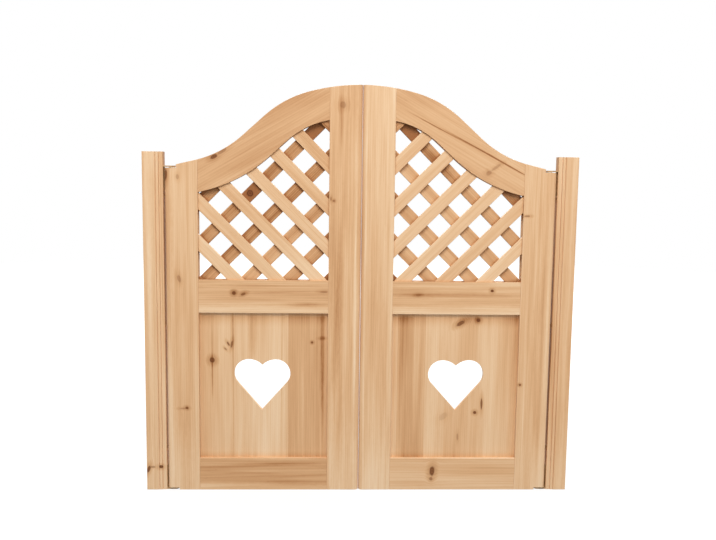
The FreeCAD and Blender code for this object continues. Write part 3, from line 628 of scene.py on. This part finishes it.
def make_figure():
    """The figure of sawn pine with its grain along Z: rings, bands, lines, fibre and ticks."""
    graph, given, gives = effect(
        "Pine figure",
        {"Vector": ORIGIN, "Depth": 0.45, "Ring Width": 0.004, "Rings": 0.1, "Lines": 0.2,
         "Bands": 0.3, "Fibre": 0.1},
        {"Depth": "Float", "Height": "Float", "Roughness": "Float"})

    def stretched(share):
        """The place, for a pattern with only this share of its changes along the grain."""
        return graph.vector("MULTIPLY", given["Vector"], (1.0, 1.0, share))

    def varied(noise, strength, onto):
        """Noise about its middle, times a strength, added onto a depth."""
        return graph.math("MULTIPLY_ADD", graph.math("SUBTRACT", noise, 0.5), strength, onto)

    slow = stretched(0.06)
    wander = graph.noise(slow, scale=9.0, output="Color")
    bent = graph.vector("MULTIPLY_ADD", wander, TREE_WANDER, given["Vector"])
    flat = graph.vector("MULTIPLY", bent, ACROSS_GRAIN)
    radius = graph.node("VectorMath", {0: flat}, operation="LENGTH").outputs["Value"]
    drift = graph.noise(slow, scale=45.0, detail=1.0)
    count = graph.math("MULTIPLY_ADD", drift, RING_DRIFT,
                       graph.math("DIVIDE", radius, given["Ring Width"]))
    phase = graph.math("FRACT", count)
    late = graph.math("MULTIPLY", graph.remap(phase, LATE_START, LATE_FULL),
                      graph.remap(phase, RING_END, RING_FADE))
    narrow = graph.noise(stretched(0.03), scale=150.0, detail=4.0, roughness=0.65)
    broad = graph.noise(stretched(0.09), scale=22.0)
    fibre = graph.noise(stretched(0.012), scale=850.0)
    specks = graph.noise(stretched(0.09), scale=1300.0, detail=1.0)
    ticks = graph.remap(specks, *TICK_RANGE, 0.0, TICK_DEPTH)
    depth = varied(late, given["Rings"], given["Depth"])
    depth = varied(graph.remap(narrow, *LINE_RANGE), given["Lines"], depth)
    depth = varied(graph.remap(broad, *BAND_RANGE), given["Bands"], depth)
    depth = varied(fibre, given["Fibre"], depth)
    graph.feed(gives["Depth"], graph.math("ADD", depth, ticks))
    late_relief = graph.math("MULTIPLY", late, LATE_RELIEF)
    graph.feed(gives["Height"], graph.math("MULTIPLY_ADD", fibre, FIBRE_RELIEF, late_relief))
    smoother = graph.math("MULTIPLY_ADD", late, LATE_ROUGHNESS, SANDED_ROUGHNESS)
    graph.feed(gives["Roughness"], graph.math("MULTIPLY_ADD", fibre, FIBRE_ROUGHNESS, smoother))
    return graph.tree


def make_pine_color():
    """The colour of pine at a depth from 0, palest, to 1, darkest."""
    graph, given, gives = effect("Pine colour", {"Depth": 0.5}, {"Color": "Color"})
    ramp = graph.node("ValToRGB", {"Fac": given["Depth"]})
    stops = ramp.color_ramp.elements
    while len(stops) < len(PINE_COLORS):
        stops.new(0.5)
    for stop, (place, color) in zip(stops, PINE_COLORS):
        stop.position = place
        stop.color = (*color, 1.0)
    graph.feed(gives["Color"], ramp.outputs["Color"])
    return graph.tree


# The cosine between a surface and its softened form where wear begins, and where it is full.
WEAR_FACING = (0.995, 0.85)
# How open a place still is where the painted shade of a corner begins, and where it is full.
CORNER_SHADE_OPENNESS = (0.97, 0.35)


def make_arris():
    """Wear along the arrises, which sanding and hands leave paler and smoother."""
    graph, given, gives = effect("Sanded arris", WOOD_WEAR, {"Wear": "Float"})
    softened = graph.node("Bevel", {"Radius": given["Radius"]}, samples=4).outputs["Normal"]
    true_normal = graph.node("NewGeometry").outputs["Normal"]
    facing = graph.node("VectorMath", {0: softened, 1: true_normal},
                        operation="DOT_PRODUCT").outputs["Value"]
    graph.feed(gives["Wear"], graph.math("MULTIPLY", graph.remap(facing, *WEAR_FACING),
                                         given["Strength"]))
    return graph.tree


def make_panel_shade():
    """Painted shade: how much deeper a panel's colour is made near the frame round it, with a
    little painted light right beside it.
    """
    graph, given, gives = effect("Painted shade by a panel's frame",
                                 {"Position": ORIGIN, "Low": ORIGIN, "High": ORIGIN},
                                 {"Amount": "Float"})
    from_low = graph.vector("SUBTRACT", given["Position"], given["Low"])
    past_low = graph.node("SeparateXYZ", {"Vector": from_low}).outputs
    from_high = graph.vector("SUBTRACT", given["High"], given["Position"])
    to_high = graph.node("SeparateXYZ", {"Vector": from_high}).outputs
    sides = (
        (to_high["Z"], PANEL_TOP_SHADE),
        (past_low["Z"], PANEL_FOOT_SHADE),
        (past_low["X"], PANEL_SIDE_SHADE),
        (to_high["X"], PANEL_SIDE_SHADE),
    )
    amount = 0.0
    for distance, (strength, reach, rim) in sides:
        painted_shade = graph.remap(distance, SHADE_FULL_AT * reach * MM, reach * MM, strength, 0.0)
        coming_in = graph.remap(distance, 0.0, rim * MM, SHADE_AT_FRAME, 1.0)
        amount = graph.math("MULTIPLY_ADD", painted_shade, coming_in, amount)
    graph.feed(gives["Amount"], amount)
    return graph.tree


def make_corner_shade():
    """Painted shade in inner corners, darker where ambient occlusion finds them closed in."""
    graph, given, gives = effect("Painted corner shade", {"Reach": CORNER_SHADE_REACH * MM},
                                 {"Amount": "Float"})
    opened = graph.node("AmbientOcclusion", {"Distance": given["Reach"]}, samples=8).outputs["AO"]
    graph.feed(gives["Amount"], graph.remap(opened, *CORNER_SHADE_OPENNESS))
    return graph.tree


spot_effect = make_spot()
knot_effect = make_knot(spot_effect)
streak_effect = make_streak(spot_effect)
figure_effect = make_figure()
pine_color_effect = make_pine_color()
arris_effect = make_arris()
corner_shade_effect = make_corner_shade()
panel_shade_effect = make_panel_shade()


# ---------------------------------------------------------------- materials

def new_material(name):
    """A material with an empty tree, its graph and its principled shader."""
    material = bpy.data.materials.new(name)
    material.use_nodes = True
    material.node_tree.nodes.clear()
    graph = Graph(material.node_tree)
    shader = graph.node("BsdfPrincipled")
    graph.node("OutputMaterial", {"Surface": shader.outputs["BSDF"]})
    return material, graph, shader.inputs


def spot_feeds(spot):
    """A spot's place, half sizes and turn, as an effect takes them."""
    return {"Centre": (spot.x * MM, 0.0, spot.z * MM), "Across": spot.across * MM,
            "Along": spot.along * MM, "Turn": -math.radians(spot.turn),
            "Strength": spot.strength}


def kind_of(node):
    """A node's name without its side and number."""
    words = node.split("_")
    return "_".join(word for word in words if word not in ("left", "right") and not word.isdigit())


def grain_turn(node):
    """How far, in radians about Y, the piece is turned to stand its grain plumb."""
    kind = kind_of(node)
    way = 1 if node.startswith("left") else -1
    if kind == "top_rail":
        return way * math.radians(TOP_RAIL_LEAN)
    turns = [turn for word, turn in GRAIN_TURNS.items() if word in kind]
    return way * math.radians(turns[0]) if turns else 0.0


def figure_shift(node):
    """How far a piece has its figure moved, which its name alone decides."""
    draw = zlib.crc32(node.encode())
    across_steps, behind_steps, along_steps = FIGURE_STEPS
    rest, across_step = divmod(draw, across_steps)
    rest, behind_step = divmod(rest, behind_steps)
    across = (across_step / across_steps - 0.5) * (FIGURE_SPREAD * MM)
    behind = FIGURE_LEAST * MM + behind_step / behind_steps * (FIGURE_RANGE * MM)
    along = rest % along_steps * (FIGURE_SPACING * MM)
    return across, behind if draw % 2 else -behind, along


def marks_on(node, marks):
    """The marks on a piece, which for a panel board are those of the whole panel near it."""
    low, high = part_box(node)
    near = MARK_REACH * MM
    panel = marks.get(node.split("_board")[0], ()) if "panel_board" in node else ()
    shared = [mark for mark in panel if low[0] - near < mark.x * MM < high[0] + near]
    return [*marks.get(node, ()), *shared]


def panel_opening(node):
    """The lowest and highest corners of the opening that a panel board shows in."""
    side = node.split("_")[0]
    below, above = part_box(side + "_bottom_rail"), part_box(side + "_mid_rail")
    return (below[0][0], 0.0, below[1][2]), (above[1][0], 0.0, above[0][2])


def raise_relief(graph, shader, height, strength, most):
    """Relief that is this strong and at most this many millimetres high."""
    bump = graph.node("Bump", {"Height": height, "Strength": strength, "Distance": most * MM})
    graph.feed(shader["Normal"], bump.outputs["Normal"])


def pine(node):
    """Sanded pine for one piece, with that piece's depth of colour, knots and streaks."""
    material, graph, shader = new_material("pine " + node)
    knots = marks_on(node, KNOTS)
    wood = WOODS[kind_of(node)]
    position = graph.node("TexCoord").outputs["Object"]
    state = {"Bend": ORIGIN, "Cover": 0.0, "Shade": 0.0, "Halo": 0.0}
    for spot in knots:
        state = dict(graph.use(knot_effect, {"Position": position, **spot_feeds(spot), **state}))
    amount = 0.0
    for spot in marks_on(node, STREAKS):
        feeds = {"Position": position, **spot_feeds(spot), "Amount": amount}
        amount = graph.use(streak_effect, feeds)["Amount"]
    bent = graph.vector("ADD", position, state["Bend"])
    placed = graph.node("Mapping", {"Vector": bent, "Rotation": (0.0, grain_turn(node), 0.0),
                                    "Location": figure_shift(node)}).outputs["Vector"]
    figure = graph.use(figure_effect, {
        "Vector": placed, "Depth": OWN_DEPTHS.get(node, wood.depth),
        "Ring Width": wood.ring_width * MM, "Rings": wood.rings, "Lines": wood.lines,
        "Bands": wood.bands, "Fibre": wood.fibre})
    wear = graph.use(arris_effect, WOOD_WEAR)["Wear"]
    depth = graph.math("ADD", figure["Depth"], amount)
    depth = graph.math("MULTIPLY_ADD", state["Halo"], HALO_DEPTH, depth)
    depth = graph.math("MULTIPLY_ADD", wear, ARRIS_DEPTH, depth)
    # Painted shade in inner corners, from ambient occlusion, deepens the lattice's colour.
    if "slat" in node or "corner" in node:
        corner = graph.use(corner_shade_effect, {"Reach": CORNER_SHADE_REACH * MM})["Amount"]
        depth = graph.math("MULTIPLY_ADD", corner, CORNER_SHADE_DEPTH, depth)
    # Painted shade from the frame round a panel, with a thin painted light right beside the frame.
    if "panel_board" in node:
        low, high = panel_opening(node)
        painted_shade = graph.use(panel_shade_effect, {"Position": position, "Low": low, "High": high})
        depth = graph.math("ADD", depth, painted_shade["Amount"])
    color = graph.use(pine_color_effect, {"Depth": depth})["Color"]
    if knots:
        heart = graph.blend(state["Shade"], KNOT_PALE, KNOT_DARK)
        color = graph.blend(state["Cover"], color, heart)
    graph.feed(shader["Base Color"], color)
    rough = graph.math("MULTIPLY_ADD", wear, WORN_ROUGHNESS, figure["Roughness"])
    graph.feed(shader["Roughness"], rough)
    graph.feed(shader["Specular IOR Level"], PINE_GLOSS)
    raise_relief(graph, shader, figure["Height"], PINE_RELIEF_STRENGTH, PINE_RELIEF)
    return material


def cloud_metal(graph, shader, clouds, color, clouded, worn):
    """A metal's colour, times one factor where it is clouded and another where it is worn."""
    clouded_color = tuple(part * clouded for part in color)
    worn_color = tuple(part * worn for part in color)
    mottled = graph.blend(graph.remap(clouds, *CLOUD_RANGE), color, clouded_color)
    wear = graph.use(arris_effect, METAL_WEAR)["Wear"]
    graph.feed(shader["Base Color"], graph.blend(wear, mottled, worn_color))


def plated_steel(name, color, grain):
    """Dull plated steel with a drawn or wound grain and clouded plating."""
    material, graph, shader = new_material(name)
    position = graph.node("TexCoord").outputs["Object"]
    lines = graph.noise(graph.vector("MULTIPLY", position, grain), scale=900.0, detail=3.0)
    clouds = graph.noise(position, scale=160.0, detail=4.0, roughness=0.6)
    cloud_metal(graph, shader, clouds, color, clouded=0.72, worn=1.2)
    graph.feed(shader["Metallic"], 1.0)
    dulled = graph.math("MULTIPLY_ADD", clouds, CLOUD_ROUGHNESS, PLATED_ROUGHNESS)
    graph.feed(shader["Roughness"], graph.math("MULTIPLY_ADD", lines, LINE_ROUGHNESS, dulled))
    raise_relief(graph, shader, lines, METAL_RELIEF_STRENGTH, METAL_RELIEF)
    return material


def bronzed_steel(name):
    """Steel under a dull brown bronzing, clouded, and rubbed paler along its edges."""
    material, graph, shader = new_material(name)
    position = graph.node("TexCoord").outputs["Object"]
    clouds = graph.noise(position, scale=190.0, detail=4.0, roughness=0.6)
    cloud_metal(graph, shader, clouds, BRONZE, clouded=0.6, worn=1.5)
    graph.feed(shader["Metallic"], 0.0)
    graph.feed(shader["Specular IOR Level"], 0.0)
    graph.feed(shader["Roughness"], graph.remap(clouds, *BRONZE_CLOUDS, *BRONZE_ROUGHNESS))
    raise_relief(graph, shader, clouds, METAL_RELIEF_STRENGTH, METAL_RELIEF)
    return material


def natural_nylon(name):
    """Milky nylon with a faint moulded bloom."""
    material, graph, shader = new_material(name)
    position = graph.node("TexCoord").outputs["Object"]
    bloom = graph.noise(position, scale=420.0, detail=4.0, roughness=0.6)
    milky = graph.blend(graph.remap(bloom, *BLOOM_COLOR_RANGE), NYLON_PALE, NYLON_DEEP)
    graph.feed(shader["Base Color"], milky)
    graph.feed(shader["Roughness"], graph.remap(bloom, *BLOOM_RANGE, *NYLON_ROUGHNESS))
    graph.feed(shader["Subsurface Weight"], NYLON_MILK)
    raise_relief(graph, shader, bloom, NYLON_RELIEF_STRENGTH, NYLON_RELIEF)
    return material


BRACKET_STEEL = bronzed_steel("bronzed bracket steel")
HARDWARE = {
    "lower_bracket": BRACKET_STEEL,
    "upper_bracket": BRACKET_STEEL,
    "pivot_pins": bronzed_steel("bronzed pin steel"),
    "spring_sleeve": plated_steel("drawn sleeve steel", SLEEVE_STEEL, DRAWN),
    "return_spring": plated_steel("oiled spring wire", SPRING_STEEL, WOUND),
    "bracket_screws": bronzed_steel("bronzed screw steel"),
    "pivot_bushes": natural_nylon("natural nylon"),
}


# ---------------------------------------------------------------- pieces with sanded arrises

MERGE_DISTANCE = 0.002 * MM
FLAT_ANGLE = math.radians(0.2)
SHARP_ANGLE = math.radians(40)
SMOOTH_ANGLE = math.radians(25)
NEAR = 0.05 * MM
LONG = 30 * MM
ARRIS_FACETS = 2


def on_faces(depth, first, second):
    """Whether an edge lies in the front or back face, this far from the middle."""
    return all(abs(abs(end.y) - depth * MM) < NEAR for end in (first, second))


def frame_arris(first, second):
    """Whether an edge is an arris of a post, stile or rail."""
    return on_faces(FRAME_FACE, first, second)


def heart_arris(first, second):
    """Whether an edge runs round the heart: the boards' own edges are all long ones."""
    return on_faces(PANEL_FACE, first, second) and (second - first).length < LONG


def slat_arris(first, second):
    """Whether an edge is a long edge of a slat."""
    run = second - first
    return run.length > LONG / 2 and abs(abs(run.x) - abs(run.z)) < NEAR


FRAME_KINDS = ("post", "outer_stile", "meeting_stile", "top_rail", "mid_rail", "bottom_rail")
LATTICE_KINDS = ("front_slat", "back_slat", "lattice_corner_pieces")
ARRISES = {
    **dict.fromkeys(FRAME_KINDS, (frame_arris, FRAME_ARRIS)),
    "panel_board": (heart_arris, HEART_ARRIS),
    **dict.fromkeys(LATTICE_KINDS, (slat_arris, SLAT_ARRIS)),
}


def select_only(piece):
    """Make a piece the only one selected, and active."""
    bpy.ops.object.select_all(action="DESELECT")
    piece.select_set(True)
    bpy.context.view_layer.objects.active = piece


def select_edges(mesh, picked):
    """Select these edges and nothing else."""
    for parts in (mesh.vertices, mesh.edges, mesh.polygons):
        parts.foreach_set("select", [False] * len(parts))
    mesh.edges.foreach_set("select", picked)


def sanded_copy(node, is_arris, radius):
    """A copy of a node's mesh with its arrises sanded round."""
    piece = bpy.data.objects.new(node + "_sanded", frame["nodes"][node].data.copy())
    bpy.context.collection.objects.link(piece)
    select_only(piece)
    bpy.ops.mesh.customdata_custom_splitnormals_clear()
    bpy.ops.object.mode_set(mode="EDIT")
    bpy.ops.mesh.select_mode(type="EDGE")
    bpy.ops.mesh.select_all(action="SELECT")
    bpy.ops.mesh.remove_doubles(threshold=MERGE_DISTANCE)
    bpy.ops.mesh.dissolve_limited(angle_limit=FLAT_ANGLE)
    bpy.ops.mesh.select_all(action="DESELECT")
    bpy.ops.mesh.edges_select_sharp(sharpness=SHARP_ANGLE)
    bpy.ops.object.mode_set(mode="OBJECT")
    places = [vertex.co for vertex in piece.data.vertices]
    select_edges(piece.data, [edge.select and is_arris(*(places[end] for end in edge.vertices))
                              for edge in piece.data.edges])
    bpy.ops.object.mode_set(mode="EDIT")
    bpy.ops.mesh.bevel(offset=radius * MM, segments=ARRIS_FACETS, affect="EDGES",
                       loop_slide=False)
    bpy.ops.object.mode_set(mode="OBJECT")
    bpy.ops.object.shade_smooth_by_angle(angle=SMOOTH_ANGLE)
    bpy.ops.object.modifier_add(type="WEIGHTED_NORMAL")
    piece.modifiers[-1].keep_sharp = True
    bpy.ops.object.modifier_apply(modifier=piece.modifiers[-1].name)
    return piece


def dress(piece, material):
    """Give a piece one material."""
    piece.data.materials.clear()
    piece.data.materials.append(material)


def finish_pieces():
    """Sand and finish the wood, and finish the hardware where it is."""
    for node, source in sorted(frame["nodes"].items()):
        kind = kind_of(node)
        if kind not in WOODS:
            dress(source, HARDWARE[kind])
            continue
        if kind not in ARRISES:
            dress(source, pine(node))
            continue
        piece = sanded_copy(node, *ARRISES[kind])
        dress(piece, pine(node))
        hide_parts(node)
        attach(piece, source["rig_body"])


# ---------------------------------------------------------------- floor, light and camera

def seen_directly(graph):
    """1 where the camera looks, straight or by a mirror or glass, and 0 for other light."""
    path = graph.node("LightPath").outputs
    seen = graph.math("MAXIMUM", path["Is Camera Ray"], path["Is Glossy Ray"])
    return graph.math("MAXIMUM", seen, path["Is Transmission Ray"])


def lay_floor():
    """A plain floor that looks white, keeps the doors' shadow and meets the white behind it."""
    bpy.ops.object.select_all(action="DESELECT")
    bpy.ops.mesh.primitive_circle_add(vertices=FLOOR_FACETS, radius=FLOOR_RADIUS * MM,
                                      fill_type="NGON", location=(0, 0, -FLOOR_DEPTH * MM))
    floor = bpy.context.object
    floor.name = "floor"
    material, graph, shader = new_material("white floor")
    graph.feed(shader["Base Color"], FLOOR_COLOR)
    graph.feed(shader["Roughness"], FLOOR_ROUGHNESS)
    graph.feed(shader["Emission Color"], WHITE)
    away = graph.node("VectorMath", {0: graph.node("TexCoord").outputs["Object"]},
                      operation="LENGTH").outputs["Value"]
    lift = graph.remap(away, *(place * MM for place in FLOOR_FADE), *FLOOR_LIFT)
    graph.feed(shader["Emission Strength"], graph.math("MULTIPLY", seen_directly(graph), lift))
    dress(floor, material)


def light_sky():
    """Soft even light from all round, which looks white behind the doors."""
    world = bpy.data.worlds.new("studio")
    bpy.context.scene.world = world
    world.use_nodes = True
    graph = Graph(world.node_tree)
    level = graph.node("MapRange", {"Value": seen_directly(graph), "To Min": SKY_LEVEL,
                                    "To Max": 1.0}).outputs["Result"]
    background = world.node_tree.nodes["Background"].inputs
    graph.feed(background["Color"], WHITE)
    graph.feed(background["Strength"], level)


def hang_lamps():
    """Large soft boxes, each turned to the middle of the doors."""
    for lamp in LAMPS:
        place = Vector(lamp.place) * MM
        way = Vector(LAMP_TARGET) * MM - place
        bpy.ops.object.light_add(type="AREA", location=place,
                                 rotation=way.to_track_quat("-Z", "Y").to_euler())
        light = bpy.context.object
        light.name = lamp.name
        light.data.shape = "RECTANGLE"
        light.data.size = lamp.width * MM
        light.data.size_y = lamp.height * MM
        light.data.energy = lamp.power


def turned_about(axis, degrees):
    """A turn about one axis."""
    return Matrix.Rotation(math.radians(degrees), 4, axis)


def place_camera():
    """A camera a little left of the middle, level with the lattice and looking slightly down."""
    bpy.ops.object.camera_add()
    camera = bpy.context.object
    camera.data.sensor_width = SENSOR
    camera.data.lens = FOCAL_PIXELS / IMAGE_WIDTH * SENSOR
    camera.matrix_world = (Matrix.Translation(Vector(CAMERA_PLACE) * MM)
                           @ turned_about("Z", CAMERA_YAW) @ turned_about("X", CAMERA_PITCH)
                           @ turned_about("Y", CAMERA_ROLL) @ turned_about("X", 90))
    bpy.context.scene.camera = camera


finish_pieces()
lay_floor()
light_sky()
hang_lamps()
place_camera()
bpy.context.scene.view_settings.view_transform = "Standard"
